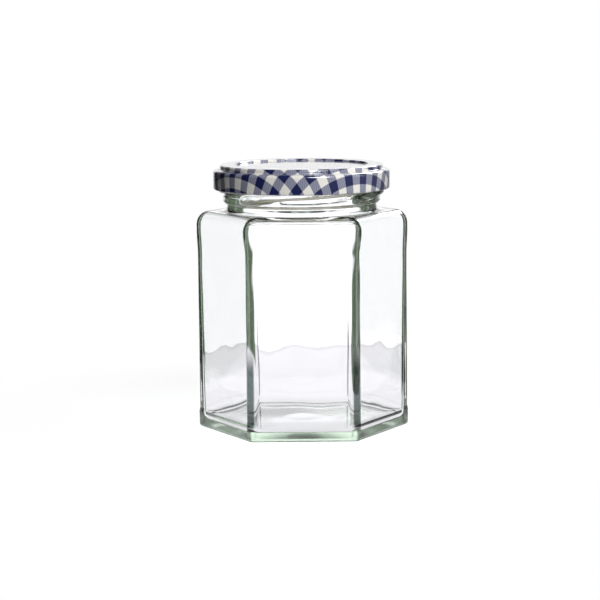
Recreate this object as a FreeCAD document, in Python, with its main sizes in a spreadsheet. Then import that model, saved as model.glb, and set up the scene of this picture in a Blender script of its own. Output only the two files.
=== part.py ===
"""Hexagonal preserving jar: clear glass, closed by a pressed steel twist-off lid with its sealing ring.

Millimetres. +Z is up, and the origin is the middle of the base on the surface that the jar stands on.
Two of the six panels face -Y and +Y, and two of the six corners lie on the X axis.
"""
import FreeCAD, Part
import math
import os
import Sketcher

SIDES = 6
NEAR = 1e-3         # edges are told apart to this, in mm
PAST_RIM = 1.0      # how far the cut of the mouth runs out over the rim

SIZES = {
    # Glass body
    "across_flats": (68.8, "outside, from one panel to the panel opposite"),
    "corner_radius": (3.5, "outside, on the upright corners"),
    "shoulder_height": (82.0, "flat shoulder above the standing surface"),
    "shoulder_radius": (5.0, "from the band under the shoulder over to the flat shoulder"),
    "shoulder_band": (7.0, "height of the raised band under the shoulder"),
    "shoulder_band_proud": (0.54, "how far that band stands out of the panels"),
    "shoulder_corner_radius": (5.4, "outside, on the upright corners within that band"),
    "heel_radius": (1.6, "from the band round the heel to the base"),
    "heel_band": (6.0, "height of the raised band round the heel"),
    "heel_band_proud": (0.29, "how far that band stands out of the panels"),
    "band_slope": (1.5, "height over which a band runs out into the panels"),
    "base_thickness": (3.0, "glass under the floor of the cavity, next to the heel"),
    "pushup_depth": (1.2, "hollow under the base"),
    "standing_width": (5.4, "flat rim that the jar stands on, between heel and hollow"),
    "pushup_slope": (20.0, "width of the gentle slope from that rim up to the middle of the hollow"),
    # Cavity
    "wall_low": (2.75, "panel thickness at the floor of the cavity"),
    "wall_middle": (2.0, "panel thickness where the walls are thinnest at their corners"),
    "wall_high": (1.6, "panel thickness under the shoulder, without the raised band"),
    "inner_corner_low": (4.5, "radius of the cavity's corners at its floor"),
    "inner_corner_middle": (3.0, "radius of the cavity's corners where they are sharpest"),
    "inner_corner_high": (4.0, "radius of the cavity's corners at its ceiling"),
    "middle_drop": (22.0, "those sharpest corners below the flat shoulder"),
    "inner_heel_radius": (3.0, "from the cavity's sides to its floor"),
    "inner_shoulder_radius": (3.4, "from the cavity's sides to its ceiling"),
    "shoulder_thickness": (1.8, "glass of the flat shoulder"),
    "throat_radius": (3.6, "from the cavity's ceiling up into the neck"),
    # Neck and finish
    "finish_radius": (28.9, "glass wall above the bead, outside"),
    "finish_wall": (3.7, "glass of the finish, from its outside to the bore"),
    "neck_waist": (0.8, "neck below the bead inside the finish radius"),
    "neck_root_radius": (0.9, "between neck and shoulder"),
    "neck_height": (16.4, "from the shoulder to the rim"),
    "bead_proud": (0.5, "how far the bead below the lid stands out of the finish"),
    "bead_low": (2.9, "underside of the bead above the shoulder"),
    "bead_width": (2.8, "height of the bead"),
    "bead_round_low": (1.0, "on the bead's lower edge"),
    "bead_round_high": (0.45, "on the bead's upper edge"),
    "rim_round": (1.3, "on both edges of the rim"),
    # Threads
    "thread_count": (4, "starts"),
    "thread_pitch": (11.3, "rise in a full turn"),
    "thread_arc": (122.0, "degrees that each thread runs"),
    "thread_start": (-135.0, "degrees from +X to the lower end of the first thread"),
    "thread_reach": (2.0, "how far a thread stands out of the finish"),
    "thread_root": (2.4, "height of a thread at the finish"),
    "thread_crest": (1.2, "height of a thread at its outer face"),
    "thread_sink": (0.65, "how far a thread reaches into the finish wall"),
    # Lid
    "sheet": (0.25, "thickness of the pressed steel"),
    "lid_height": (9.18, "from the bottom of the curl to the top of the raised ring"),
    "thread_clearance": (2.0, "between the threads and the inside of the skirt"),
    "ledge_drop": (2.05, "outer edge of the ledge below the raised ring"),
    "ledge_rise": (0.5, "rise of the ledge towards the raised ring"),
    "ring_clearance": (1.45, "between the finish and the inside of the raised ring"),
    "plug_clearance": (0.15, "between the bore and the wall of the sunk middle"),
    "panel_drop": (0.7, "sunk middle below the raised ring"),
    "skirt_round": (1.2, "from the skirt over to the ledge, outside"),
    "ring_round": (0.8, "on the raised ring's outer edge, outside"),
    "foot_round": (0.5, "from the raised ring out to the ledge"),
    "well_round_high": (0.4, "from the raised ring down to the sunk middle, outside"),
    "well_round_low": (0.2, "at the foot of that step"),
    "curl_radius": (0.65, "rolled edge at the bottom of the skirt"),
    "lug_arc": (12.0, "degrees that a lug spans"),
    "lug_reach": (0.6, "overlap of a lug under its thread"),
    "lug_thickness": (0.45, "folded steel of a lug"),
    "lug_lift": (0.11, "underside of a lug above the bottom of the rolled edge"),
    "lug_setback": (1.0, "degrees from a lug to its thread's upper end"),
    "lug_clearance": (0.05, "between a lug and the thread above it"),
    # Sealing ring
    "seal_thickness": (0.6, "from the glass rim to the lid"),
    "seal_margin": (0.1, "between the seal and the bends of its channel"),
}

doc = FreeCAD.newDocument("HexagonalJar")
sheet = doc.addObject("Spreadsheet::Sheet", "Sizes")


class Size:
    """A number together with the spreadsheet expression that gives it."""

    def __init__(self, value, text):
        self.value = float(value)
        self.text = text

    def combine(self, other, sign, value):
        text = other.text if isinstance(other, Size) else repr(other)
        return Size(value, f"({self.text} {sign} {text})")

    def __add__(self, other):
        return self.combine(other, "+", self.value + number(other))

    def __sub__(self, other):
        return self.combine(other, "-", self.value - number(other))

    def __mul__(self, other):
        return self.combine(other, "*", self.value * number(other))

    def __truediv__(self, other):
        return self.combine(other, "/", self.value / number(other))


def number(size):
    return size.value if isinstance(size, Size) else size


GROUND = Size(0, "0")


def fill_sheet():
    """Write every driving size to the spreadsheet, and return them by name."""
    sizes = {}
    for row, (name, (value, note)) in enumerate(SIZES.items(), start=1):
        sheet.set(f"A{row}", name)
        sheet.set(f"B{row}", str(value))
        sheet.set(f"C{row}", note)
        sheet.setAlias(f"B{row}", name)
        sizes[name] = Size(value, f"Sizes.{name}")
    doc.recompute()
    return sizes


def new_body(label):
    body = doc.addObject("PartDesign::Body", label)
    body.Label = label
    return body


def new_sketch(body, name, role, height=None):
    """Make a sketch on one of the body's own planes, raised by height where that is given."""
    sketch = body.newObject("Sketcher::SketchObject", name)
    plane = next(feature for feature in body.Origin.OriginFeatures if feature.Role == role)
    sketch.AttachmentSupport = [(plane, "")]
    sketch.MapMode = "FlatFace"
    if height is not None:
        sketch.setExpression("AttachmentOffset.Base.z", height.text)
    return sketch


def bind(sketch, size, kind, *where):
    """Add a dimension to a sketch and tie it to the spreadsheet."""
    constraint = sketch.addConstraint(Sketcher.Constraint(kind, *where, size.value))
    sketch.setExpression(f"Constraints[{constraint}]", size.text)


def profile_sketch(body, name, points):
    """Closed polygon in the XZ plane, with each corner's radius and height tied to the spreadsheet."""
    sketch = new_sketch(body, name, "XZ_Plane")
    spots = [FreeCAD.Vector(number(radius), number(height), 0) for radius, height in points]
    count = len(spots)
    for index, spot in enumerate(spots):
        sketch.addGeometry(Part.LineSegment(spot, spots[(index + 1) % count]))
    for index, (radius, height) in enumerate(points):
        sketch.addConstraint(Sketcher.Constraint("Coincident", (index - 1) % count, 2, index, 1))
        for kind, axis, size in (("DistanceX", -2, radius), ("DistanceY", -1, height)):
            if isinstance(size, Size):
                bind(sketch, size, kind, -1, 1, index, 1)
            else:
                sketch.addConstraint(Sketcher.Constraint("PointOnObject", index, 1, axis))
    return sketch


def hexagon_sketch(body, name, apothem, radius, height):
    """Hexagon with rounded corners in a level plane, with a pair of its sides along X."""
    sketch = new_sketch(body, name, "XY_Plane", height)
    along, out = FreeCAD.Vector(1, 0, 0), FreeCAD.Vector(0, -1, 0)
    upright = FreeCAD.Vector(0, 0, 1)
    turn = FreeCAD.Rotation(upright, 360 / SIDES)
    half = (apothem.value - radius.value) * math.tan(math.pi / SIDES)
    for _ in range(SIDES):
        middle = out * apothem.value
        sketch.addGeometry(Part.LineSegment(middle - along * half, middle + along * half))
        centre = middle + along * half - out * radius.value
        next_out = turn.multVec(out)
        halfway = (out + next_out).normalize()
        sketch.addGeometry(Part.Arc(centre + out * radius.value, centre + halfway * radius.value,
                                    centre + next_out * radius.value))
        along, out = turn.multVec(along), next_out
    inscribed = sketch.addGeometry(Part.Circle(FreeCAD.Vector(), upright, apothem.value), True)
    sketch.addConstraint(Sketcher.Constraint("Coincident", inscribed, 3, -1, 1))
    bind(sketch, apothem, "Radius", inscribed)
    sketch.addConstraint(Sketcher.Constraint("Horizontal", 0))
    for side in range(SIDES):
        line, arc, next_line = 2 * side, 2 * side + 1, (2 * side + 2) % (2 * SIDES)
        sketch.addConstraint(Sketcher.Constraint("Tangent", line, 2, arc, 1))
        sketch.addConstraint(Sketcher.Constraint("Tangent", arc, 2, next_line, 1))
        sketch.addConstraint(Sketcher.Constraint("Tangent", line, inscribed))
        if side:
            sketch.addConstraint(Sketcher.Constraint("Equal", 1, arc))
            sketch.addConstraint(Sketcher.Constraint("Equal", 0, line))
    bind(sketch, radius, "Radius", 1)
    return sketch


def loft(body, name, kind, sections):
    """Join hexagons by straight walls. Each is a name, an apothem, a corner radius and a height."""
    outlines = [hexagon_sketch(body, *section) for section in sections]
    feature = body.newObject(f"PartDesign::{kind}Loft", name)
    feature.Profile = outlines[0]
    feature.Sections = outlines[1:]
    feature.Ruled = True
    return feature


def storeys(body, sections):
    """Stack solid hexagons between sections: straight between equal outlines, and sloping elsewhere."""
    for low, high in zip(sections, sections[1:]):
        name, *outline, foot = low
        _, *outline_above, top = high
        if outline == outline_above:
            straight = body.newObject("PartDesign::Pad", f"{name}Storey")
            straight.Profile = hexagon_sketch(body, name, *outline, foot)
            straight.setExpression("Length", (top - foot).text)
        else:
            loft(body, f"{name}Slope", "Additive", (low, high))


def revolve(body, name, kind, sketch):
    """Turn a profile about the upright axis, as a Revolution that adds or a Groove that cuts."""
    feature = body.newObject(f"PartDesign::{kind}", name)
    feature.Profile = sketch
    feature.ReferenceAxis = (sketch, ["V_Axis"])
    feature.Angle = 360
    sketch.Visibility = False
    return feature


def round_edges(body, name, radius, chosen):
    """Fillet the edges of the body's last feature that the chosen test picks out."""
    doc.recompute()
    base = body.Tip
    names = [f"Edge{index}" for index, edge in enumerate(base.Shape.Edges, start=1) if chosen(edge)]
    if not names:
        raise RuntimeError(f"{name} finds no edge to round")
    fillet = body.newObject("PartDesign::Fillet", name)
    fillet.Base = (base, names)
    fillet.setExpression("Radius", radius.text)
    return fillet


def ring(radius, height):
    """Test for a level circle about the upright axis."""
    def chosen(edge):
        if edge.Curve.TypeId != "Part::GeomCircle":
            return False
        centre = edge.Curve.Center
        return (abs(edge.Curve.Radius - radius.value) < NEAR and abs(centre.z - height.value) < NEAR
                and abs(centre.x) < NEAR and abs(centre.y) < NEAR)
    return chosen


def level_loop(height, beyond):
    """Test for an edge that lies at one height and further than beyond from the upright axis."""
    def chosen(edge):
        box = edge.BoundBox
        middle = edge.valueAt((edge.FirstParameter + edge.LastParameter) / 2)
        return (abs(box.ZMin - height.value) < NEAR and abs(box.ZMax - height.value) < NEAR
                and math.hypot(middle.x, middle.y) > beyond.value)
    return chosen


def any_of(*tests):
    """Test for an edge that passes any one of several tests."""
    return lambda edge: any(test(edge) for test in tests)


def around(body, name, feature, count):
    """Repeat a feature evenly about the upright axis."""
    pattern = body.newObject("PartDesign::PolarPattern", name)
    pattern.Originals = [feature]
    pattern.Axis = (next(part for part in body.Origin.OriginFeatures if part.Role == "Z_Axis"), [""])
    pattern.Angle = 360
    pattern.setExpression("Occurrences", count.text)
    body.Tip = pattern
    return pattern


def bore_radius(sizes):
    """Inside of the neck and mouth."""
    return sizes["finish_radius"] - sizes["finish_wall"]


def thread_crest_radius(sizes):
    """Outer face of the threads."""
    return sizes["finish_radius"] + sizes["thread_reach"]


def lid_bottom(sizes, rim):
    """Height of the bottom of the lid's rolled edge."""
    return rim + sizes["seal_thickness"] + sizes["sheet"] - sizes["lid_height"]


def lug_bottom(sizes, rim):
    """Height of a lug's underside, a little above the bottom of the rolled edge."""
    return lid_bottom(sizes, rim) + sizes["lug_lift"]


def thread_middle(sizes, rim):
    """Height of the middle of a thread's lower end, so that its upper end passes just above a lug."""
    flank = (sizes["thread_root"] - sizes["thread_crest"]) / 2 * sizes["lug_reach"] / sizes["thread_reach"]
    underside = lug_bottom(sizes, rim) + sizes["lug_thickness"] + sizes["lug_clearance"]
    climb = sizes["thread_pitch"] * (sizes["thread_arc"] - sizes["lug_setback"] - sizes["lug_arc"]) / 360
    return underside + sizes["thread_crest"] / 2 + flank - climb


def build_glass(sizes, rim, ceiling):
    """The jar itself: hexagonal body, round neck with bead and threads, and the cavity inside."""
    body = new_body("glass_jar")
    apothem = sizes["across_flats"] / 2
    shoulder = sizes["shoulder_height"]
    floor = sizes["base_thickness"]
    finish = sizes["finish_radius"]
    waist = finish - sizes["neck_waist"]
    bead = finish + sizes["bead_proud"]
    bore = bore_radius(sizes)

    corner = sizes["corner_radius"]
    heel_out = apothem + sizes["heel_band_proud"]
    shoulder_out = apothem + sizes["shoulder_band_proud"]
    shoulder_corner = sizes["shoulder_corner_radius"]
    band_start = shoulder - sizes["shoulder_band"]
    storeys(body, (
        ("BaseOutline", heel_out, corner, GROUND),
        ("HeelBandTop", heel_out, corner, sizes["heel_band"]),
        ("PanelFoot", apothem, corner, sizes["heel_band"] + sizes["band_slope"]),
        ("PanelHead", apothem, corner, band_start - sizes["band_slope"]),
        ("ShoulderBandFoot", shoulder_out, shoulder_corner, band_start),
        ("ShoulderOutline", shoulder_out, shoulder_corner, shoulder)))
    round_edges(body, "ShoulderRound", sizes["shoulder_radius"], level_loop(shoulder, waist))
    round_edges(body, "HeelRound", sizes["heel_radius"], level_loop(GROUND, waist))

    bead_low = shoulder + sizes["bead_low"]
    bead_high = bead_low + sizes["bead_width"]
    neck = profile_sketch(body, "NeckProfile", [
        (0, ceiling), (waist, ceiling), (waist, bead_low), (bead, bead_low), (bead, bead_high),
        (finish, bead_high), (finish, rim), (0, rim)])
    revolve(body, "Neck", "Revolution", neck)
    round_edges(body, "NeckRoot", sizes["neck_root_radius"], ring(waist, shoulder))
    round_edges(body, "BeadRoundLow", sizes["bead_round_low"], ring(bead, bead_low))
    round_edges(body, "BeadRoundHigh", sizes["bead_round_high"], ring(bead, bead_high))

    middle = shoulder - sizes["middle_drop"]
    loft(body, "Cavity", "Subtractive", (
        ("CavityFloor", apothem - sizes["wall_low"], sizes["inner_corner_low"], floor),
        ("CavityMiddle", apothem - sizes["wall_middle"], sizes["inner_corner_middle"], middle),
        ("CavityCeiling", apothem - sizes["wall_high"], sizes["inner_corner_high"], ceiling)))
    round_edges(body, "CavityHeel", sizes["inner_heel_radius"], level_loop(floor, GROUND))
    round_edges(body, "CavityShoulder", sizes["inner_shoulder_radius"], level_loop(ceiling, GROUND))

    bottom = floor + sizes["inner_heel_radius"]
    mouth = profile_sketch(body, "BoreProfile", [
        (0, bottom), (bore, bottom), (bore, rim + PAST_RIM), (0, rim + PAST_RIM)])
    revolve(body, "Bore", "Groove", mouth)
    round_edges(body, "Throat", sizes["throat_radius"], ring(bore, ceiling))
    round_edges(body, "RimRound", sizes["rim_round"], any_of(ring(bore, rim), ring(finish, rim)))

    hollow_out = heel_out - sizes["heel_radius"] - sizes["standing_width"]
    hollow_in = hollow_out - sizes["pushup_slope"]
    hollow = profile_sketch(body, "PushupProfile", [
        (0, 0), (hollow_out, 0), (hollow_in, sizes["pushup_depth"]), (0, sizes["pushup_depth"])])
    revolve(body, "Pushup", "Groove", hollow)

    thread = thread_middle(sizes, rim)
    inside = finish - sizes["thread_sink"]
    crest = thread_crest_radius(sizes)
    root_low, root_high = thread - sizes["thread_root"] / 2, thread + sizes["thread_root"] / 2
    crest_low, crest_high = thread - sizes["thread_crest"] / 2, thread + sizes["thread_crest"] / 2
    tooth = profile_sketch(body, "ThreadProfile", [
        (inside, root_low), (finish, root_low), (crest, crest_low),
        (crest, crest_high), (finish, root_high), (inside, root_high)])
    sketch_upright = FreeCAD.Vector(0, 1, 0)
    tooth.setExpression("AttachmentOffset.Rotation.Angle", sizes["thread_start"].text)
    tooth.AttachmentOffset = FreeCAD.Placement(FreeCAD.Vector(), FreeCAD.Rotation(sketch_upright, 1))
    helix = body.newObject("PartDesign::AdditiveHelix", "Thread")
    helix.Profile = tooth
    helix.ReferenceAxis = (tooth, ["V_Axis"])
    helix.Mode = "pitch-height-angle"
    helix.setExpression("Pitch", sizes["thread_pitch"].text)
    helix.setExpression("Height", (sizes["thread_pitch"] * sizes["thread_arc"] / 360).text)
    around(body, "Threads", helix, sizes["thread_count"])
    return body


def build_lid(sizes, rim):
    """The lid: one pressed sheet with skirt, ledge, raised ring, sunk middle, rolled edge and lugs."""
    body = new_body("lid")
    steel = sizes["sheet"]
    top = rim + sizes["seal_thickness"] + steel
    curl = lid_bottom(sizes, rim) + sizes["curl_radius"]
    crest = thread_crest_radius(sizes)
    skirt = crest + sizes["thread_clearance"] + steel
    ring_out = sizes["finish_radius"] + sizes["ring_clearance"] + steel
    ring_in = bore_radius(sizes) - sizes["plug_clearance"] - steel
    ledge_out = top - sizes["ledge_drop"]
    ledge_in = ledge_out + sizes["ledge_rise"]
    panel = top - sizes["panel_drop"]

    outside = profile_sketch(body, "OutsideProfile", [
        (0, curl), (skirt, curl), (skirt, ledge_out), (ring_out, ledge_in),
        (ring_out, top), (ring_in, top), (ring_in, panel), (0, panel)])
    revolve(body, "Outside", "Revolution", outside)
    inside = profile_sketch(body, "InsideProfile", [
        (0, curl), (skirt - steel, curl), (skirt - steel, ledge_out - steel),
        (ring_out - steel, ledge_in - steel), (ring_out - steel, top - steel),
        (ring_in + steel, top - steel), (ring_in + steel, panel - steel), (0, panel - steel)])
    revolve(body, "Inside", "Groove", inside)

    # The tighter side of each bend is rounded first, so that the sheet is never cut through.
    crests = (("Skirt", sizes["skirt_round"], skirt, skirt - steel, ledge_out),
              ("Ring", sizes["ring_round"], ring_out, ring_out - steel, top),
              ("WellHigh", sizes["well_round_high"], ring_in, ring_in + steel, top))
    feet = (("Foot", sizes["foot_round"], ring_out, ring_out - steel, ledge_in),
            ("WellLow", sizes["well_round_low"], ring_in, ring_in + steel, panel))
    for name, rounding, _, under, height in crests:
        round_edges(body, name + "Inside", rounding - steel, ring(under, height - steel))
    for name, rounding, over, _, height in feet:
        round_edges(body, name + "Outside", rounding, ring(over, height))
    for name, rounding, over, _, height in crests:
        round_edges(body, name + "Outside", rounding, ring(over, height))
    for name, rounding, _, under, height in feet:
        round_edges(body, name + "Inside", rounding + steel, ring(under, height - steel))

    roll = new_sketch(body, "CurlProfile", "XZ_Plane")
    roll_centre = skirt - sizes["curl_radius"]
    centre = FreeCAD.Vector(roll_centre.value, curl.value, 0)
    roll.addGeometry(Part.Circle(centre, FreeCAD.Vector(0, 0, 1), sizes["curl_radius"].value))
    bind(roll, sizes["curl_radius"], "Radius", 0)
    bind(roll, roll_centre, "DistanceX", -1, 1, 0, 3)
    bind(roll, curl, "DistanceY", -1, 1, 0, 3)
    revolve(body, "Curl", "Revolution", roll)

    lug_low = lug_bottom(sizes, rim)
    lug_high = lug_low + sizes["lug_thickness"]
    lug_in = crest - sizes["lug_reach"]
    lug_profile = profile_sketch(body, "LugProfile", [
        (lug_in, lug_low), (roll_centre, lug_low), (roll_centre, lug_high), (lug_in, lug_high)])
    lug = revolve(body, "Lug", "Revolution", lug_profile)
    lug.setExpression("Angle", sizes["lug_arc"].text)
    around(body, "Lugs", lug, sizes["thread_count"])
    lug_start = sizes["thread_start"] + sizes["thread_arc"] - sizes["lug_setback"] - sizes["lug_arc"]
    body.setExpression("Placement.Rotation.Angle", lug_start.text)
    return body


def build_seal(sizes, rim):
    """The sealing ring: soft compound in the channel under the raised ring, pressed on the glass rim."""
    body = new_body("sealing_ring")
    bend = sizes["seal_margin"] - sizes["sheet"]
    inner = bore_radius(sizes) - sizes["plug_clearance"] + sizes["well_round_high"] + bend
    outer = sizes["finish_radius"] + sizes["ring_clearance"] - sizes["ring_round"] - bend
    top = rim + sizes["seal_thickness"]
    section = profile_sketch(body, "SealProfile", [(inner, rim), (outer, rim), (outer, top), (inner, top)])
    revolve(body, "Seal", "Revolution", section)
    return body


def check(bodies):
    """Stop if any object failed, or if a body isn't one valid solid."""
    for part in doc.Objects:
        if {"Invalid", "Error"} & set(part.State):
            raise RuntimeError(f"{part.Name} failed: {part.State}")
    for body in bodies:
        shape = body.Shape
        if shape.isNull() or not shape.isValid() or len(shape.Solids) != 1:
            raise RuntimeError(f"{body.Label} isn't one valid solid")


def main():
    sizes = fill_sheet()
    rim = sizes["shoulder_height"] + sizes["neck_height"]
    ceiling = sizes["shoulder_height"] - sizes["shoulder_thickness"]
    bodies = [build_glass(sizes, rim, ceiling), build_lid(sizes, rim), build_seal(sizes, rim)]
    doc.recompute()
    check(bodies)
    os.makedirs("parts", exist_ok=True)
    for body in bodies:
        body.Shape.exportStep(f"parts/{body.Label}.step")
        box = body.Shape.BoundBox
        print(f"{body.Label}: {body.Shape.Volume / 1000:.2f} cm3, "
              f"z {box.ZMin:.2f} to {box.ZMax:.2f}, across {box.XLength:.2f} by {box.YLength:.2f}")


main()
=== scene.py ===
"""Looks of the hexagonal preserving jar: clear glass, a printed twist-off lid and its sealing ring."""

import math

import bpy
import numpy as np
from mathutils import Matrix, Vector


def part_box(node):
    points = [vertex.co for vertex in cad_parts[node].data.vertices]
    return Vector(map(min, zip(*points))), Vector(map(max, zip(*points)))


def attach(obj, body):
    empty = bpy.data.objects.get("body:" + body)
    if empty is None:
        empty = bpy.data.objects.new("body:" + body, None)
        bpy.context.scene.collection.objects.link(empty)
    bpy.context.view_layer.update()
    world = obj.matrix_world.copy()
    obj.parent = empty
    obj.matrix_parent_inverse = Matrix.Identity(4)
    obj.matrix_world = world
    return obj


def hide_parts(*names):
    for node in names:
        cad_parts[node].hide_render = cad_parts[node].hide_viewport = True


MM = 0.001
SIXTH = math.radians(60.0)

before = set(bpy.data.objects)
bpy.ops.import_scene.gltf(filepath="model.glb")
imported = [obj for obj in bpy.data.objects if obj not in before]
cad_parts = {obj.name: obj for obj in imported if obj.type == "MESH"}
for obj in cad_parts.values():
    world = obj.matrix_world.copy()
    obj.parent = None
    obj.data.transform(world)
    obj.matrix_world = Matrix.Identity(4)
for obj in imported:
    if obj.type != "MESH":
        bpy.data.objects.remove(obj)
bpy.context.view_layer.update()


def corners_in_mm(node):
    """Lowest and highest corner of a CAD node, in millimetres."""
    low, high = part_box(node)
    return np.array(low) / MM, np.array(high) / MM


JAR_HIGH = corners_in_mm("glass_jar")[1]
LID_LOW, LID_HIGH = corners_in_mm("lid")
SEAL_LOW, SEAL_HIGH = corners_in_mm("sealing_ring")

# ---------------------------------------------------------------- sizes in millimetres
# The overall sizes are the frame's. The others repeat the part's own named sizes, apart from
# SHOULDER_SWELL and the waves, which are the look's own.
SHOULDER_PROUD = 0.54
HEEL_PROUD = 0.29
NECK_HEIGHT = 16.4
STANDING_WIDTH = 5.4
MIDDLE_DROP = 22.0
SHOULDER_OUT = JAR_HIGH[1]
RIM = JAR_HIGH[2]
SHOULDER = RIM - NECK_HEIGHT
APOTHEM = SHOULDER_OUT - SHOULDER_PROUD
HEEL_OUT = APOTHEM + HEEL_PROUD
CORNER = 3.5
SHOULDER_CORNER = 5.4
SHOULDER_ROUND = 5.0
SHOULDER_BAND = SHOULDER - 7.0
SHOULDER_SWELL = 7.0
HEEL = 1.6
HEEL_BAND = 6.0
BAND_SLOPE = 1.5
PUSHUP_RADIUS = HEEL_OUT - HEEL - STANDING_WIDTH
PUSHUP_SLOPE = 20.0
PUSHUP_DEPTH = 1.2
FLOOR = 3.0
FLOOR_RISE = 0.5
MIDDLE = SHOULDER - MIDDLE_DROP
WALL_LOW = 2.75
WALL_MIDDLE = 2.0
WALL_HIGH = 1.6
INNER_CORNER_LOW = 4.5
INNER_CORNER_MIDDLE = 3.0
INNER_CORNER_HIGH = 4.0
INNER_HEEL = 3.0
INNER_SHOULDER = 3.4
CEILING = SHOULDER - 1.8
BORE = 25.2
THROAT = 3.6
NECK = 28.1
NECK_ROOT = 0.9
BEAD = 29.4
BEAD_LOW = SHOULDER + 2.9
BEAD_HIGH = BEAD_LOW + 2.8
FINISH = 28.9
RIM_ROUND = 1.3
OUTER_WAVE = 0.05
INNER_WAVE = 0.07
STIPPLE_TOP = 1.3

THREADS = 4
THREAD_PITCH = 11.3
THREAD_ARC = math.radians(122.0)
THREAD_START = math.radians(-135.0)
THREAD_LOW = RIM - 10.36
THREAD_REACH = 2.0
THREAD_ROOT = 2.4
THREAD_TAPER = math.radians(7.0)

LID_RADIUS = LID_HIGH[1]
LID_TOP = LID_HIGH[2]
LID_FOOT = LID_LOW[2]
SHEET = 0.25
LEDGE = LID_TOP - 2.05
LEDGE_RISE = 0.5
RING_OUTER = FINISH + 1.45 + SHEET
RING_INNER = BORE - 0.15 - SHEET
PANEL = LID_TOP - 0.7
SKIRT_ROUND = 1.2
RING_ROUND = 0.8
FOOT_ROUND = 0.5
WELL_ROUND_HIGH = 0.4
WELL_ROUND_LOW = 0.2
CURL = 0.65
LUG_ARC = math.radians(12.0)
LUG_MIDDLE = math.radians(-20.0)
LUG_DEPTH = 1.6

CELL = 3.547
GRID_TURN = math.radians(39.33)
GRID_SHIFT = (0.615, 0.048)

SEAL_WIDTH = 4.0

ARC_STEPS = 9
LID_COLUMNS = 320
SEAL_COLUMNS = 180
FLOOR_COLUMNS = 96

# ---------------------------------------------------------------- outlines and meshes


def rounded_path(corners, step):
    """Points along a line of (radius, height, rounding) corners, with an arc at each one and an even step."""
    points = [np.array(corners[0][:2], float)]
    for before, corner, after in zip(corners, corners[1:], corners[2:]):
        here = np.array(corner[:2], float)
        to_before = np.array(before[:2], float) - here
        to_after = np.array(after[:2], float) - here
        to_before /= np.linalg.norm(to_before)
        to_after /= np.linalg.norm(to_after)
        half = 0.5 * math.acos(float(np.clip(np.dot(to_before, to_after), -1.0, 1.0)))
        rounding = corner[2]
        if rounding <= 0.0 or abs(half - math.pi / 2) < 1e-6:
            points.append(here)
            continue
        tangent = rounding / math.tan(half)
        bisector = to_before + to_after
        centre = here + bisector / np.linalg.norm(bisector) * rounding / math.sin(half)
        first = here + to_before * tangent - centre
        last = here + to_after * tangent - centre
        turn = math.atan2(first[0] * last[1] - first[1] * last[0], float(np.dot(first, last)))
        for k in range(ARC_STEPS + 1):
            a = turn * k / ARC_STEPS
            spun = np.array([first[0] * math.cos(a) - first[1] * math.sin(a),
                             first[0] * math.sin(a) + first[1] * math.cos(a)])
            points.append(centre + spun)
    points.append(np.array(corners[-1][:2], float))
    dense = [points[0]]
    for start, end in zip(points, points[1:]):
        length = float(np.linalg.norm(end - start))
        if length < 1e-6:
            continue
        pieces = max(1, math.ceil(length / step))
        for k in range(1, pieces + 1):
            dense.append(start + (end - start) * k / pieces)
    return np.array(dense)


def hexagon(angle, apothem, corner):
    """Distance from the axis to a rounded hexagon with two panels facing -Y and +Y."""
    corner = np.minimum(corner, apothem)
    off_normal = np.abs((angle - math.pi / 2 + SIXTH / 2) % SIXTH - SIXTH / 2)
    off_corner = SIXTH / 2 - off_normal
    reach = (apothem - corner) / math.cos(SIXTH / 2)
    depth = np.maximum(corner ** 2 - (reach * np.sin(off_corner)) ** 2, 0.0)
    arc = reach * np.cos(off_corner) + np.sqrt(depth)
    panel = apothem / np.cos(off_normal)
    tangent = np.arctan2((apothem - corner) * math.tan(SIXTH / 2), apothem)
    return np.where(off_normal < tangent, panel, arc)


def panel_angles():
    """Angles of the mesh columns: wide apart on the panels and close together at the corners."""
    half = np.concatenate([np.linspace(0.0, 22.0, 12)[:-1], np.linspace(22.0, 30.0, 17)])
    side = np.concatenate([-half[:0:-1], half[:-1]])
    return np.radians(np.concatenate([side + 60.0 * k + 30.0 for k in range(6)]))


def even_angles(columns):
    return np.arange(columns) * math.tau / columns


def across_columns(values, columns):
    """The same value in every column, for a column array of values."""
    return np.repeat(values, columns, axis=1)


def skin(rows, closed_start, closed_end, columns):
    """Faces of a sheet of rows, wrapped round, with a single point at an end that is closed."""
    faces = []
    index = 0
    starts = []
    for k in range(rows):
        single = (k == 0 and closed_start) or (k == rows - 1 and closed_end)
        starts.append((index, single))
        index += 1 if single else columns
    for (low, low_single), (high, high_single) in zip(starts, starts[1:]):
        for j in range(columns):
            n = (j + 1) % columns
            if low_single:
                faces.append((low, high + n, high + j))
            elif high_single:
                faces.append((low + j, low + n, high))
            else:
                faces.append((low + j, low + n, high + n, high + j))
    return faces


def wrapped_mesh(name, radii, heights, angles, closed_start=False, closed_end=False,
                 loop=False, downward=False):
    """A mesh from arrays of radius and height, one row for each point of the outline, in millimetres."""
    points = []
    rows = len(radii)
    for k in range(rows):
        if (k == 0 and closed_start) or (k == rows - 1 and closed_end):
            points.append(np.array([[0.0, 0.0, heights[k].mean()]]))
            continue
        points.append(np.stack([radii[k] * np.cos(angles), radii[k] * np.sin(angles), heights[k]], axis=1))
    faces = skin(rows, closed_start, closed_end, len(angles))
    if loop:
        last = (rows - 1) * len(angles)
        for j in range(len(angles)):
            n = (j + 1) % len(angles)
            faces.append((last + j, last + n, n, j))
    if downward:
        faces = [face[::-1] for face in faces]
    mesh = bpy.data.meshes.new(name)
    mesh.from_pydata((np.concatenate(points) * MM).tolist(), [], faces)
    mesh.update()
    mesh.shade_smooth()
    piece = bpy.data.objects.new(name, mesh)
    bpy.context.scene.collection.objects.link(piece)
    return piece


# ---------------------------------------------------------------- the glass jar


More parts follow.
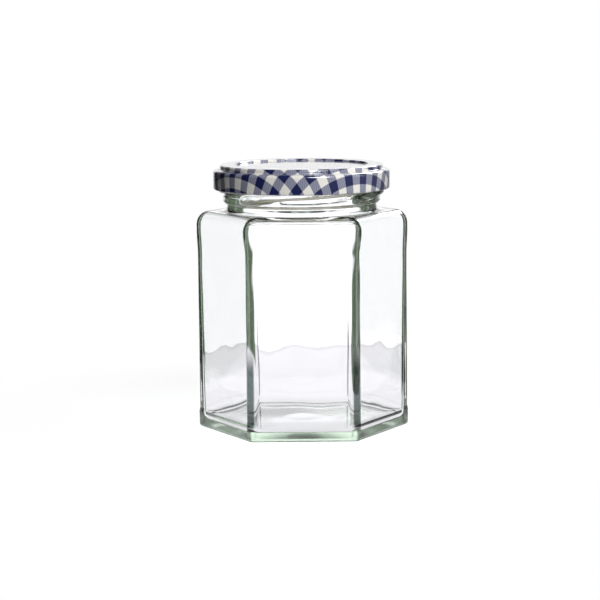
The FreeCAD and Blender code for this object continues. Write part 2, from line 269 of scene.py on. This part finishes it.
def ramp(value, start, end):
    """0 at start, 1 at end, smooth between."""
    t = np.clip((value - start) / (end - start), 0.0, 1.0)
    return t * t * (3.0 - 2.0 * t)


def thread_relief(angles, heights):
    """How far the threads stand out of the finish at each point."""
    relief = np.zeros_like(heights)
    for k in range(THREADS):
        start = THREAD_START + math.tau * k / THREADS
        along = (angles - start + THREAD_TAPER) % math.tau - THREAD_TAPER
        middle = THREAD_LOW + THREAD_PITCH * along / math.tau
        full = THREAD_TAPER * 0.4
        ends = ramp(along, -THREAD_TAPER, full) * ramp(THREAD_ARC - along, -THREAD_TAPER, full)
        off = np.abs(heights - middle)
        width = (THREAD_ROOT + 0.5) / 2.0 * np.sqrt(np.maximum(ends, 1e-6))
        body = 1.0 - ramp(off, width * 0.30, width)
        relief = np.maximum(relief, THREAD_REACH * ends * body)
    return relief


def waves(angles, heights, seed):
    """A smooth unevenness of about -1 to 1 over a wall, as pressed and blown glass has.

    Each wave is a number of swells round the jar and a length up it, in millimetres.
    """
    draw = np.random.default_rng(seed)
    total = np.zeros(np.broadcast(angles, heights).shape)
    lengths = ((2, 30.0), (3, 48.0), (5, 26.0), (7, 60.0), (9, 34.0), (12, 22.0))
    for around, up in lengths:
        phase = draw.uniform(0.0, math.tau, 2)
        total += np.sin(around * angles + phase[0]) * np.sin(math.tau * heights / up + phase[1])
    return total / math.sqrt(len(lengths))


def outer_surface(angles):
    """Rows of the outside, from the middle of the base up to the rim."""
    corners = [
        (0.0, PUSHUP_DEPTH, 0.0),
        (PUSHUP_RADIUS - PUSHUP_SLOPE, PUSHUP_DEPTH, 30.0),
        (PUSHUP_RADIUS, 0.0, 0.8),
        (HEEL_OUT, 0.0, HEEL),
        (HEEL_OUT, HEEL_BAND, 2.0),
        (APOTHEM, HEEL_BAND + BAND_SLOPE, 2.0),
        (APOTHEM, SHOULDER_BAND - SHOULDER_SWELL, 60.0),
        (SHOULDER_OUT, SHOULDER_BAND, 45.0),
        (SHOULDER_OUT, SHOULDER, SHOULDER_ROUND),
        (NECK, SHOULDER, NECK_ROOT),
        (NECK, BEAD_LOW, 0.5),
        (BEAD, BEAD_LOW, 1.0),
        (BEAD, BEAD_HIGH, 0.6),
        (FINISH, BEAD_HIGH + 0.25, 0.3),
        (FINISH, RIM, RIM_ROUND),
        (BORE + RIM_ROUND, RIM, 0.0),
    ]
    path = thin_out(rounded_path(corners, 2.0), 0.16)
    finish_rows = np.arange(BEAD_HIGH + 0.7, RIM - 1.5, 0.24)
    below = path[path[:, 1] < BEAD_HIGH + 0.6]
    above = path[path[:, 1] > RIM - 1.4]
    finish = np.stack([np.full_like(finish_rows, FINISH), finish_rows], axis=1)
    path = np.concatenate([below, finish, above])
    shape = path[:, 0:1]
    height = across_columns(path[:, 1:2], len(angles))
    level = path[:, 1:2]
    low = level < SHOULDER / 2
    corner = CORNER + (SHOULDER_CORNER - CORNER) * ramp(level, SHOULDER_BAND - 6.0, SHOULDER_BAND + 2.0)
    past_side = np.where(level > SHOULDER - SHOULDER_ROUND, SHOULDER_OUT - shape, 0.0)
    inset = np.where(level < HEEL, HEEL_OUT - shape, past_side)
    hexagonal = hexagon(angles[None, :], shape, np.maximum(corner - inset, 0.3))
    edge = np.where(low, HEEL_OUT - HEEL, SHOULDER_OUT - SHOULDER_ROUND)
    round_at = np.where(low, PUSHUP_RADIUS, NECK + NECK_ROOT)
    roundness = ramp(edge - shape, np.zeros_like(edge), edge - round_at)
    roundness = np.where(level > SHOULDER + 0.001, 1.0, roundness)
    radius = hexagonal * (1.0 - roundness) + shape * roundness
    wall = ramp(height, HEEL_BAND, 3 * HEEL_BAND)
    wall = wall * (1.0 - ramp(height, SHOULDER_BAND - 12.0, SHOULDER_BAND - 2.0))
    radius = radius - OUTER_WAVE * wall * (1.0 + waves(angles[None, :], height, 3)) / 2.0
    threaded = (path[:, 1] > BEAD_HIGH - 0.5) & (path[:, 0] > FINISH - 0.2)
    radius[threaded] += thread_relief(angles[None, :], height[threaded])
    return radius, height


def inner_surface(angles):
    """Rows of the inside, from the rim down to the middle of the floor."""
    side_high = APOTHEM - WALL_HIGH
    side_low = APOTHEM - WALL_LOW
    corners = [
        (BORE + RIM_ROUND, RIM, 0.0),
        (BORE, RIM, RIM_ROUND),
        (BORE, CEILING, THROAT),
        (side_high, CEILING, INNER_SHOULDER),
        (APOTHEM - WALL_MIDDLE, MIDDLE, 0.0),
        (side_low, FLOOR, INNER_HEEL),
        (0.0, FLOOR + FLOOR_RISE, 0.0),
    ]
    path = rounded_path(corners, 2.0)[1:]
    shape = path[:, 0:1]
    height = across_columns(path[:, 1:2], len(angles))
    levels = (FLOOR, MIDDLE, CEILING)
    side = np.interp(path[:, 1:2], levels, (side_low, APOTHEM - WALL_MIDDLE, side_high))
    corner = np.interp(path[:, 1:2], levels, (INNER_CORNER_LOW, INNER_CORNER_MIDDLE, INNER_CORNER_HIGH))
    corner = np.maximum(corner - (side - shape), 0.5)
    hexagonal = hexagon(angles[None, :], shape, corner)
    low = path[:, 1:2] < SHOULDER / 2
    edge = np.where(low, side_low - INNER_HEEL, side_high - INNER_SHOULDER)
    round_at = np.where(low, 10.0, BORE + THROAT)
    roundness = ramp(edge - shape, np.zeros_like(edge), edge - round_at)
    radius = hexagonal * (1.0 - roundness) + shape * roundness
    wall = ramp(height, FLOOR + 1.0, FLOOR + 3 * INNER_HEEL)
    wall = wall * (1.0 - ramp(height, CEILING - 12.0, CEILING - 3.0))
    radius = radius + INNER_WAVE * wall * waves(angles[None, :], height, 11)
    return radius, height


def thin_out(path, least):
    """The path without points that lie closer than least to the one before."""
    kept = [path[0]]
    for point in path[1:-1]:
        if np.linalg.norm(point - kept[-1]) >= least:
            kept.append(point)
    kept.append(path[-1])
    return np.array(kept)


def make_jar():
    """The glass as one closed skin, with a painted shade on its low upright outer corners."""
    angles = panel_angles()
    outer_radius, outer_height = outer_surface(angles)
    inner_radius, inner_height = inner_surface(angles)
    radius = np.concatenate([outer_radius, inner_radius])
    height = np.concatenate([outer_height, inner_height])
    jar = wrapped_mesh("jar", radius, height, angles, closed_start=True, closed_end=True)
    # Painted shade: the "corner" attribute darkens the glass low on its upright outer corners.
    painted_shade = np.concatenate([painted_corner_shade(angles, outer_height), np.zeros_like(inner_height)])
    layer = jar.data.attributes.new("corner", "FLOAT", "POINT")
    layer.data.foreach_set("value", np.concatenate([painted_shade[0, :1], painted_shade[1:-1].ravel(), painted_shade[-1, :1]]))
    return jar


def painted_corner_shade(angles, heights):
    """Painted shade: 1 low down on the upright outer corners, darkening them in place of the dim surroundings
    seen through the glass, and 0 on the panels.
    """
    off_corner = np.abs((angles + SIXTH / 2) % SIXTH - SIXTH / 2)
    across = 1.0 - ramp(off_corner[None, :], math.radians(1.9), math.radians(2.7))
    return across * ramp(heights, 3.0, 6.0) * (1.0 - ramp(heights, 26.0, 40.0))


# ---------------------------------------------------------------- the lid


def lid_outline():
    """The lid's sheet: the printed side from the middle out, the hem, and the lacquered side back."""
    outside = [
        (0.0, PANEL, 0.0),
        (RING_INNER, PANEL, WELL_ROUND_LOW),
        (RING_INNER, LID_TOP, WELL_ROUND_HIGH),
        (RING_OUTER, LID_TOP, RING_ROUND),
        (RING_OUTER, LEDGE + LEDGE_RISE, FOOT_ROUND),
        (LID_RADIUS, LEDGE, SKIRT_ROUND),
        (LID_RADIUS, LID_FOOT + CURL, 0.0),
    ]
    curl_centre = np.array([LID_RADIUS - CURL, LID_FOOT + CURL])
    turns = np.radians(np.linspace(0.0, -300.0, 22))[1:]
    curl = curl_centre + CURL * np.stack([np.cos(turns), np.sin(turns)], axis=1)
    inside = [
        (LID_RADIUS - SHEET, LID_FOOT + 2.6 * CURL, 0.0),
        (LID_RADIUS - SHEET, LEDGE - SHEET, SKIRT_ROUND - SHEET),
        (RING_OUTER - SHEET, LEDGE + LEDGE_RISE - SHEET, FOOT_ROUND + SHEET),
        (RING_OUTER - SHEET, LID_TOP - SHEET, RING_ROUND - SHEET),
        (RING_INNER + SHEET, LID_TOP - SHEET, WELL_ROUND_HIGH - SHEET),
        (RING_INNER + SHEET, PANEL - SHEET, WELL_ROUND_LOW + SHEET),
        (0.0, PANEL - SHEET, 0.0),
    ]
    return thin_out(rounded_path(outside, 1.2), 0.03), curl, thin_out(rounded_path(inside, 1.6), 0.05)


def make_lid():
    """The lid with its hem pressed in at the lugs, the outline of its print and the last printed row."""
    printed, curl, lacquered = lid_outline()
    path = np.concatenate([printed, curl, lacquered])
    angles = even_angles(LID_COLUMNS)
    radius = across_columns(path[:, 0:1], LID_COLUMNS)
    height = across_columns(path[:, 1:2], LID_COLUMNS)
    first = len(printed)
    for k in range(first, first + len(curl)):
        inward = (LID_RADIUS - CURL - path[k, 0]) / CURL
        if inward <= 0.0:
            continue
        for lug in range(THREADS):
            turn = angles - LUG_MIDDLE - math.tau * lug / THREADS
            off = np.abs((turn + math.pi) % math.tau - math.pi)
            press = 1.0 - ramp(off, LUG_ARC * 0.30, LUG_ARC * 0.62)
            radius[k] -= LUG_DEPTH * inward * press * 0.5
    piece = wrapped_mesh("lid_shell", radius, height, angles,
                         closed_start=True, closed_end=True, downward=True)
    return piece, printed, len(printed) + len(curl) // 2


def unroll(piece, path, last_printed_row):
    """UV map in cells of the check, where each point lay on the flat printed blank, and the two materials."""
    lengths = np.linalg.norm(np.diff(path, axis=0), axis=1)
    areas = np.concatenate([[0.0], np.cumsum(lengths * (path[1:, 0] + path[:-1, 0]) / 2.0)])
    blank = np.sqrt(2.0 * areas)
    mesh = piece.data
    layer = mesh.uv_layers.new(name="blank")
    loops = np.zeros(len(mesh.loops), dtype=np.int64)
    mesh.loops.foreach_get("vertex_index", loops)
    row = (loops - 1) // LID_COLUMNS + 1
    row[loops == 0] = 0
    points = np.zeros(len(mesh.vertices) * 3)
    mesh.vertices.foreach_get("co", points)
    points = points.reshape(-1, 3)[loops]
    angle = np.arctan2(points[:, 1], points[:, 0])
    reach = blank[np.minimum(row, len(blank) - 1)]
    x = reach * np.cos(angle)
    y = reach * np.sin(angle)
    across = (x * math.sin(GRID_TURN) - y * math.cos(GRID_TURN)) / CELL - GRID_SHIFT[0]
    along = (x * math.cos(GRID_TURN) + y * math.sin(GRID_TURN)) / CELL - GRID_SHIFT[1]
    layer.data.foreach_set("uv", np.stack([across, along], axis=1).ravel())
    starts = np.zeros(len(mesh.polygons), dtype=np.int64)
    mesh.polygons.foreach_get("loop_start", starts)
    mesh.polygons.foreach_set("material_index", (row[starts] >= last_printed_row).astype(np.int32))
    mesh.update()


# ---------------------------------------------------------------- the sealing ring


def make_seal():
    """The ring of sealing compound, a band with rounded edges."""
    low = SEAL_LOW[2]
    high = SEAL_HIGH[2]
    outer = SEAL_HIGH[0]
    inner = outer - SEAL_WIDTH
    corners = [
        (inner + 0.5, low, 0.0),
        (outer, low, 0.15),
        (outer, high, 0.25),
        (inner, high, 0.25),
        (inner, low, 0.15),
        (inner + 0.5, low, 0.0),
    ]
    path = thin_out(rounded_path(corners, 0.6), 0.02)[:-1]
    radius = across_columns(path[:, 0:1], SEAL_COLUMNS)
    height = across_columns(path[:, 1:2], SEAL_COLUMNS)
    return wrapped_mesh("seal", radius, height, even_angles(SEAL_COLUMNS), loop=True)


# ---------------------------------------------------------------- materials


class Nodes:
    """A short way to build a node tree."""

    def __init__(self, tree):
        self.tree = tree
        tree.nodes.clear()

    def add(self, kind, inputs=None, **settings):
        node = self.tree.nodes.new(kind)
        for name, value in settings.items():
            setattr(node, name, value)
        for name, value in (inputs or {}).items():
            self.feed(node.inputs[name], value)
        return node

    def feed(self, socket, value):
        if isinstance(value, bpy.types.NodeSocket):
            self.tree.links.new(value, socket)
        elif isinstance(value, bpy.types.Node):
            self.tree.links.new(value.outputs[0], socket)
        else:
            socket.default_value = value

    def math(self, operation, *values):
        node = self.add("ShaderNodeMath", operation=operation)
        for socket, value in zip(node.inputs, values):
            self.feed(socket, value)
        return node.outputs[0]

    def mix(self, factor, first, second):
        node = self.add("ShaderNodeMix", data_type="RGBA")
        self.feed(node.inputs[0], factor)
        self.feed(node.inputs[6], first)
        self.feed(node.inputs[7], second)
        return node.outputs[2]

    def ramp(self, value, stops):
        node = self.add("ShaderNodeValToRGB")
        elements = node.color_ramp.elements
        while len(elements) < len(stops):
            elements.new(0.5)
        for element, (position, colour) in zip(elements, stops):
            element.position = position
            element.color = colour
        self.feed(node.inputs[0], value)
        return node.outputs[0]


def new_material(name):
    material = bpy.data.materials.new(name)
    material.use_nodes = True
    return material, Nodes(material.node_tree)


def srgb(red, green, blue):
    """A colour written as 0 to 255, in linear values."""
    out = []
    for channel in (red, green, blue):
        c = channel / 255.0
        out.append(c / 12.92 if c <= 0.04045 else ((c + 0.055) / 1.055) ** 2.4)
    return (out[0], out[1], out[2], 1.0)


def grey(value):
    return (value, value, value, 1.0)


def glass_material():
    """Clear soda-lime glass: green in its thickness, faintly uneven from the mould, stippled underneath."""
    material, n = new_material("clear_glass")
    place = n.add("ShaderNodeTexCoord").outputs["Object"]
    peel = n.add("ShaderNodeTexNoise", {"Vector": place, "Scale": 220.0, "Detail": 2.0})
    bump = n.add("ShaderNodeBump", {"Height": peel.outputs[0], "Strength": 0.05, "Distance": 0.0002})
    level = n.add("ShaderNodeSeparateXYZ", {0: place}).outputs[2]
    stipple = n.math("MULTIPLY", n.math("LESS_THAN", level, STIPPLE_TOP * MM), 0.12)
    # Painted shade: a near-black tint from the "corner" attribute, low on the upright outer corners.
    corner = n.add("ShaderNodeAttribute", attribute_name="corner").outputs["Fac"]
    painted_corner_tint = n.mix(corner, grey(1.0), (0.02, 0.033, 0.027, 1.0))
    glass = n.add("ShaderNodeBsdfPrincipled", {
        "Base Color": painted_corner_tint,
        "Roughness": stipple,
        "IOR": 1.52,
        "Transmission Weight": 1.0,
        "Normal": bump,
    })
    clear = n.add("ShaderNodeBsdfTransparent", {"Color": (0.93, 0.96, 0.94, 1.0)})
    path = n.add("ShaderNodeLightPath")
    surface = n.add("ShaderNodeMixShader", {0: path.outputs["Is Shadow Ray"], 1: glass, 2: clear})
    body = n.add("ShaderNodeVolumeAbsorption", {"Color": (0.72, 0.90, 0.70, 1.0), "Density": 18.0})
    n.add("ShaderNodeOutputMaterial", {"Surface": surface, "Volume": body})
    return material


def print_material():
    """The lid's print: a blue and cream gingham under a clear coat."""
    material, n = new_material("printed_steel")
    navy = srgb(24, 31, 78)
    speckle = srgb(133, 136, 153)
    cream = srgb(231, 229, 222)
    grid = n.add("ShaderNodeUVMap", uv_map="blank")
    parts = n.add("ShaderNodeSeparateXYZ", {0: grid})
    across = parts.outputs[0]
    along = parts.outputs[1]

    def stripe(value, shift):
        """1 on every other cell, with a soft edge."""
        wave = n.math("SINE", n.math("MULTIPLY", n.math("ADD", value, shift), math.pi))
        steep = n.math("ADD", n.math("MULTIPLY", wave, 6.0), 0.5)
        return n.math("SMOOTH_MAX", 0.0, n.math("SMOOTH_MIN", 1.0, steep, 0.05), 0.05)

    dark_across = stripe(across, 1.0)
    dark_along = stripe(along, 0.0)
    both = n.math("MULTIPLY", dark_across, dark_along)
    either = n.math("MAXIMUM", dark_across, dark_along)
    hatch = n.math("SINE", n.math("MULTIPLY", n.math("ADD", across, along), math.tau * 3.0))
    hatched = n.mix(n.math("MULTIPLY", n.math("ADD", hatch, 1.0), 0.5),
                    srgb(118, 121, 142), srgb(148, 150, 167))
    colour = n.mix(either, cream, hatched)
    colour = n.mix(both, colour, navy)
    place = n.add("ShaderNodeTexCoord").outputs["Object"]
    speck = n.add("ShaderNodeTexNoise", {"Vector": place, "Scale": 900.0, "Detail": 2.0})
    colour = n.mix(n.math("MULTIPLY", speck.outputs[0], 0.02), colour, speckle)
    peel = n.add("ShaderNodeTexNoise", {"Vector": place, "Scale": 350.0, "Detail": 2.0})
    bump = n.add("ShaderNodeBump", {"Height": peel.outputs[0], "Strength": 0.08, "Distance": 0.0001})
    shader = n.add("ShaderNodeBsdfPrincipled", {
        "Base Color": colour,
        "Roughness": 0.22,
        "Coat Weight": 1.0,
        "Coat Roughness": 0.06,
        "Normal": bump,
    })
    n.add("ShaderNodeOutputMaterial", {"Surface": shader})
    return material


def lacquer_material():
    """The lid's inside and hem: pale lacquered steel."""
    material, n = new_material("lacquered_steel")
    place = n.add("ShaderNodeTexCoord").outputs["Object"]
    cloud = n.add("ShaderNodeTexNoise", {"Vector": place, "Scale": 120.0, "Detail": 3.0})
    colour = n.mix(cloud.outputs[0], srgb(206, 200, 178), srgb(188, 180, 156))
    shader = n.add("ShaderNodeBsdfPrincipled", {
        "Base Color": colour,
        "Roughness": 0.3,
        "Metallic": 0.35,
        "Coat Weight": 0.5,
        "Coat Roughness": 0.15,
    })
    n.add("ShaderNodeOutputMaterial", {"Surface": shader})
    return material


def seal_material():
    """Off-white sealing compound."""
    material, n = new_material("sealing_compound")
    place = n.add("ShaderNodeTexCoord").outputs["Object"]
    cloud = n.add("ShaderNodeTexNoise", {"Vector": place, "Scale": 300.0, "Detail": 2.0})
    colour = n.mix(cloud.outputs[0], srgb(226, 222, 210), srgb(208, 203, 190))
    shader = n.add("ShaderNodeBsdfPrincipled", {"Base Color": colour, "Roughness": 0.55})
    n.add("ShaderNodeOutputMaterial", {"Surface": shader})
    return material


# ---------------------------------------------------------------- stage, light and camera

FLOOR_RADIUS = 180.0
FLOOR_LEVEL = -0.02
# What the glass sees through itself: bright windows and dim gaps beside them. The windows are above
# 1 because each wall of glass reflects a part of the light away.
WINDOW = (1.35, 1.335, 1.395, 1.0)
GAP_LEFT = (0.15, 0.21, 0.135, 1.0)
GAP_RIGHT = (0.055, 0.08, 0.05, 1.0)
FLOOR_LIGHT = (1.08, 1.055, 1.12)
WINDOWS_ROUND = 8
# The bright arms of the floor lead to the windows. Half an arm's width is ARM near the jar.
ARM = 38.0
ARM_SPREAD = 0.07
LAMP_DISTANCE = 900.0
LAMP_AIM = 50.0

CAMERA_DISTANCE = 870.14
CAMERA_HEIGHT = 164.38
CAMERA_TURN = -0.0015
AIM_SIDE = -1.011
AIM_HEIGHT = 47.845
CAMERA_ROLL = 0.0098
LENS = 139.92


def make_floor():
    """A round pale floor. The camera sees it white, with the jar's own shadow kept near the jar.

    Glass and gloss see it glowing, with painted light and shade: bright arms towards the windows, a dim
    sector behind on the right, a painted shadow under the jar and painted shade at the rim.
    """
    rings = np.array([0.0, 60.0, 120.0, FLOOR_RADIUS])
    radius = across_columns(rings[:, None], FLOOR_COLUMNS)
    height = np.full_like(radius, FLOOR_LEVEL)
    floor = wrapped_mesh("floor", radius, height, even_angles(FLOOR_COLUMNS), closed_start=True)
    material, n = new_material("pale_floor")
    path = n.add("ShaderNodeLightPath")
    place = n.add("ShaderNodeTexCoord").outputs["Object"]
    reach = n.add("ShaderNodeVectorMath", {0: place}, operation="LENGTH").outputs["Value"]
    share = n.math("DIVIDE", reach, FLOOR_RADIUS * MM)
    fade = n.ramp(share, [(0.35, grey(0.0)), (0.95, grey(1.0))])
    lit = n.add("ShaderNodeBsdfDiffuse", {"Color": grey(0.32)})
    glow = n.add("ShaderNodeEmission", {"Color": grey(0.70)})
    kept = n.add("ShaderNodeAddShader", {0: lit, 1: glow})
    white = n.add("ShaderNodeEmission", {"Color": grey(1.0)})
    seen = n.add("ShaderNodeMixShader", {0: fade, 1: kept, 2: white})
    # Painted shadow under the jar and painted shade at the rim, in the glow that glass and gloss see.
    painted_floor_shade = n.ramp(share, [(0.16, grey(0.66)), (0.22, grey(0.90)), (0.60, grey(0.93)),
                          (0.94, grey(0.95)), (0.97, grey(0.84))])
    painted_floor_light = n.add("ShaderNodeVectorMath", {0: painted_floor_shade, 1: FLOOR_LIGHT}, operation="MULTIPLY").outputs[0]
    parts = n.add("ShaderNodeSeparateXYZ", {0: place})
    azimuth = n.math("ARCTAN2", parts.outputs[1], parts.outputs[0])
    half_step = math.pi / WINDOWS_ROUND
    off_arm = n.math("ABSOLUTE", n.math("SINE", n.math("WRAP", azimuth, half_step, -half_step)))
    arm_width = n.math("MULTIPLY_ADD", reach, ARM_SPREAD, ARM * MM)
    beside = n.math("DIVIDE", n.math("MULTIPLY", off_arm, reach), arm_width)
    off_arms = n.ramp(n.math("MULTIPLY", beside, 0.5), [(0.50, grey(0.0)), (0.56, grey(1.0))])
    diagonal = n.math("MINIMUM", parts.outputs[0], parts.outputs[1])
    dim_sector = n.math("GREATER_THAN", diagonal,
                        n.math("MAXIMUM", n.math("MULTIPLY", reach, 0.38), 50.0 * MM))
    right = n.math("MULTIPLY_ADD", n.math("DIVIDE", parts.outputs[0], reach), 0.5, 0.5)
    gap = n.mix(right, GAP_LEFT, GAP_RIGHT)
    dim = n.math("MAXIMUM", off_arms, dim_sector)
    through = n.add("ShaderNodeEmission", {"Color": n.mix(dim, painted_floor_light, gap)})
    plain = n.add("ShaderNodeBsdfDiffuse", {"Color": grey(0.35)})
    passed = n.add("ShaderNodeMixShader", {0: path.outputs["Is Transmission Ray"], 1: plain, 2: through})
    mirrored = n.add("ShaderNodeMixShader", {0: path.outputs["Is Glossy Ray"], 1: passed, 2: through})
    surface = n.add("ShaderNodeMixShader", {0: path.outputs["Is Camera Ray"], 1: mirrored, 2: seen})
    n.add("ShaderNodeOutputMaterial", {"Surface": surface})
    floor.data.materials.append(material)


def make_world():
    """White for the camera. Glass sees a window every 45 degrees, but none on the two diagonals behind.

    Gloss sees one white window behind the jar, a dark room in front and on the left, and a dim right side.
    Light through glass counts as gloss too, so the glass comes after it.
    """
    world = bpy.data.worlds.new("studio")
    bpy.context.scene.world = world
    world.use_nodes = True
    n = Nodes(world.node_tree)
    path = n.add("ShaderNodeLightPath")
    direction = n.add("ShaderNodeTexCoord").outputs["Generated"]
    parts = n.add("ShaderNodeSeparateXYZ", {0: direction})
    azimuth = n.math("ARCTAN2", parts.outputs[1], parts.outputs[0])

    def half(value):
        return n.math("MULTIPLY_ADD", value, 0.5, 0.5)

    height = half(parts.outputs[2])
    around = half(n.math("COSINE", n.math("MULTIPLY", azimuth, float(WINDOWS_ROUND))))
    windows = n.ramp(around, [(0.48, grey(0.0)), (0.62, grey(1.0))])
    sideways = n.math("ABSOLUTE", parts.outputs[0])
    straight = n.ramp(sideways, [(0.50, grey(1.0)), (0.56, grey(0.0))])
    beside = n.ramp(sideways, [(0.86, grey(0.0)), (0.92, grey(1.0))])
    in_front = n.math("LESS_THAN", parts.outputs[1], 0.0)
    off_diagonal = n.math("MAXIMUM", n.math("MAXIMUM", straight, beside), in_front)
    gap = n.mix(half(parts.outputs[0]), GAP_LEFT, GAP_RIGHT)
    window = n.mix(n.math("MULTIPLY", windows, off_diagonal), gap, WINDOW)
    up = n.ramp(height, [(0.30, grey(1.0)), (0.70, grey(1.0)), (0.90, grey(0.6)), (1.0, grey(0.4))])
    glass = n.mix(1.0, window, up)
    glass.node.blend_type = "MULTIPLY"

    behind = n.ramp(n.math("SINE", azimuth), [(0.90, grey(0.0)), (0.955, grey(1.0))])
    low = n.ramp(height, [(0.35, grey(1.0)), (0.60, grey(1.0)), (0.72, grey(0.15)), (1.0, grey(0.10))])
    side = n.ramp(half(n.math("COSINE", azimuth)), [(0.0, grey(0.01)), (0.5, grey(0.03)), (1.0, grey(0.25))])
    gloss = n.math("MAXIMUM", n.math("MULTIPLY", behind, low), side)
    soft_side = n.ramp(half(parts.outputs[0]), [(0.0, grey(0.0)), (0.4, grey(0.01)), (1.0, grey(0.30))])
    soft = n.math("ADD", soft_side, n.ramp(height, [(0.5, grey(0.0)), (1.0, grey(0.18))]))
    value = n.mix(path.outputs["Is Glossy Ray"], soft, gloss)
    value = n.mix(path.outputs["Is Transmission Ray"], value, glass)
    value = n.mix(path.outputs["Is Camera Ray"], value, grey(1.0))
    background = n.add("ShaderNodeBackground", {"Color": value, "Strength": 1.0})
    n.add("ShaderNodeOutputWorld", {"Surface": background})


def polar(azimuth, elevation, distance):
    """A place round the jar: azimuth 0 is in front, at -Y, and 90 on the right, at +X."""
    a = math.radians(azimuth)
    e = math.radians(elevation)
    flat = distance * math.cos(e)
    return Vector((flat * math.sin(a), -flat * math.cos(a), distance * math.sin(e))) * MM


def add_lamp(name, azimuth, elevation, size, power):
    """A soft rectangular lamp that points at the jar and isn't seen by the camera or through the glass."""
    light = bpy.data.lights.new(name, "AREA")
    light.shape = "RECTANGLE"
    light.size = size[0] * MM
    light.size_y = size[1] * MM
    light.energy = power
    lamp = bpy.data.objects.new(name, light)
    aim = Vector((0.0, 0.0, LAMP_AIM * MM))
    lamp.location = polar(azimuth, elevation, LAMP_DISTANCE) + aim
    lamp.rotation_euler = (lamp.location - aim).to_track_quat("Z", "Y").to_euler()
    lamp.visible_transmission = False
    lamp.visible_camera = False
    bpy.context.scene.collection.objects.link(lamp)


def add_camera():
    """The camera that was fitted to the outline of the jar."""
    data = bpy.data.cameras.new("photo_camera")
    data.lens = LENS
    data.sensor_width = 36.0
    data.clip_start = 0.01
    data.clip_end = 20.0
    camera = bpy.data.objects.new("photo_camera", data)
    place = Vector((CAMERA_DISTANCE * math.sin(CAMERA_TURN), -CAMERA_DISTANCE * math.cos(CAMERA_TURN),
                    CAMERA_HEIGHT))
    aim = Vector((math.cos(CAMERA_TURN) * AIM_SIDE, math.sin(CAMERA_TURN) * AIM_SIDE, AIM_HEIGHT))
    forward = (aim - place).normalized()
    right = forward.cross(Vector((0.0, 0.0, 1.0))).normalized()
    up = right.cross(forward)
    tilted_right = right * math.cos(CAMERA_ROLL) - up * math.sin(CAMERA_ROLL)
    tilted_up = right * math.sin(CAMERA_ROLL) + up * math.cos(CAMERA_ROLL)
    turn = Matrix((tilted_right, tilted_up, -forward)).transposed().to_4x4()
    camera.matrix_world = Matrix.Translation(place * MM) @ turn
    bpy.context.scene.collection.objects.link(camera)
    bpy.context.scene.camera = camera


# ---------------------------------------------------------------- the scene

jar = make_jar()
jar.data.materials.append(glass_material())
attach(jar, "root")
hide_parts("glass_jar")

lid, lid_path, last_row = make_lid()
unroll(lid, lid_path, last_row)
lid.data.materials.append(print_material())
lid.data.materials.append(lacquer_material())
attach(lid, "root")
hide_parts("lid")

seal = make_seal()
seal.data.materials.append(seal_material())
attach(seal, "root")
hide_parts("sealing_ring")

make_floor()
make_world()
add_lamp("key", 25, 36, (380, 380), 7.6)
add_lamp("fill_right", 80, 20, (300, 500), 0.7)
add_lamp("back", 155, 35, (400, 300), 3.4)
add_camera()

scene = bpy.context.scene
scene.view_settings.view_transform = "Standard"
scene.cycles.max_bounces = 24
scene.cycles.transmission_bounces = 20
scene.cycles.transparent_max_bounces = 24
